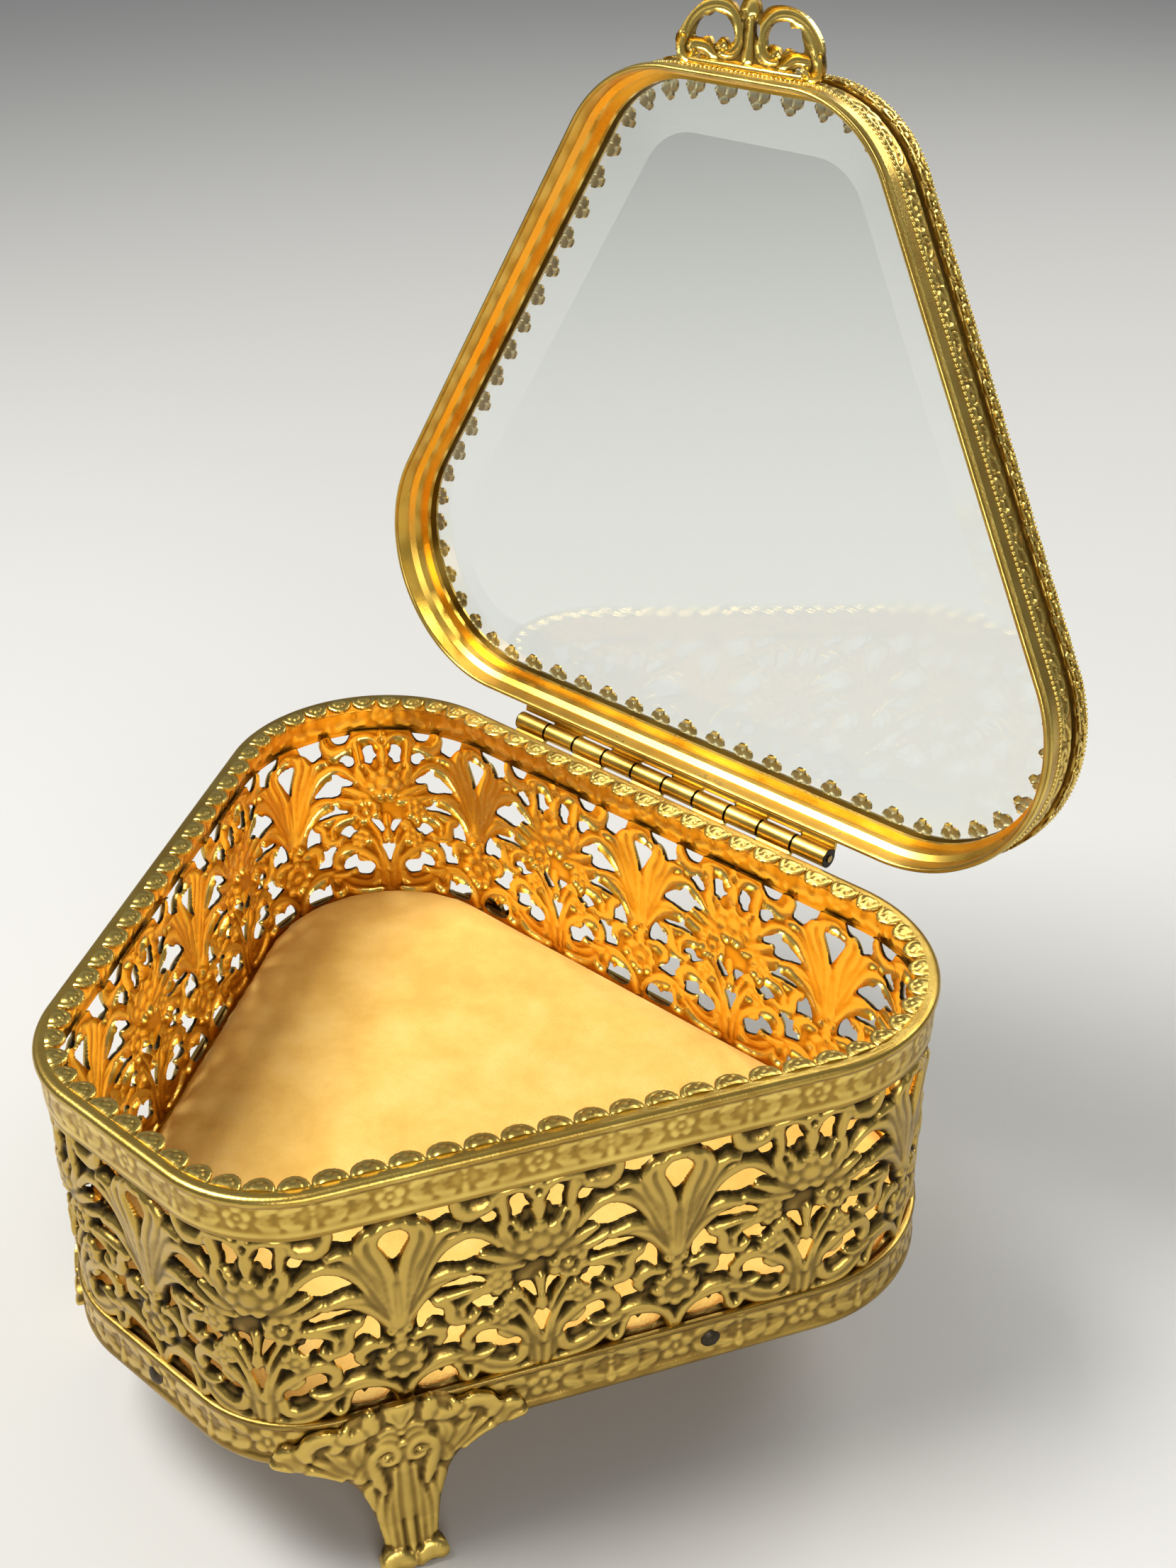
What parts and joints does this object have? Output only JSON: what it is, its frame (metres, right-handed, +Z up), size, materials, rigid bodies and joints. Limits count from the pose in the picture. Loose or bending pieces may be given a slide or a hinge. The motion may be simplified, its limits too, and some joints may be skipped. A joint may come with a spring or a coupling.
{
  "type": "jewelry box",
  "caption": "Footed jewelry casket with a pierced metal wall, velvet-lined floor and a hinged lid with a bevelled glass pane and openwork thumb handle.",
  "frame": {"origin": "on the table, under the middle of the width and of the depth of the box with its lid standing open", "axes": "+X to the right seen from the front, +Y towards the hinge at the back, +Z up"},
  "size_m": [0.1358, 0.1354, 0.1962],
  "materials": {
    "gilt_brass": "satin gilt stamped brass",
    "antique_brass": "antiqued gilt with dark recesses, bright lacquer inside",
    "lacquered_brass": "orange-gold lacquer",
    "floor_brass": "plain rolled sheet",
    "dark_rivet": "dark bronze",
    "board": "pressed paper board",
    "velvet": "short-pile velvet",
    "glass": "clear polished plate with a ground bevel"
  },
  "bodies": {
    "base": {"rim_band": "gilt_brass", "filigree_wall": "antique_brass", "bottom_band": "antique_brass", "bottom_plate": "floor_brass", "lining_card": "board", "lining_pad": "velvet", "foot_front_right": "antique_brass", "foot_front_left": "antique_brass", "foot_back_right": "antique_brass", "foot_back_left": "antique_brass", "rivet_front": "dark_rivet", "rivet_right": "dark_rivet", "rivet_back": "dark_rivet", "rivet_left": "dark_rivet", "hinge_base_leaf": "gilt_brass", "hinge_pin": "gilt_brass"},
    "lid": {"lid_frame": "gilt_brass", "lid_liner": "lacquered_brass", "lid_glass": "glass", "lid_bezel": "gilt_brass", "crown_handle": "gilt_brass", "hinge_lid_leaf": "gilt_brass"}
  },
  "joints": [
    {"name": "lid_hinge", "type": "hinge", "parent": "base", "child": "lid", "pos_m": [0, 0.04696, 0.0732], "axis": [1, 0, 0], "range_deg": [0, 95]}
  ]
}
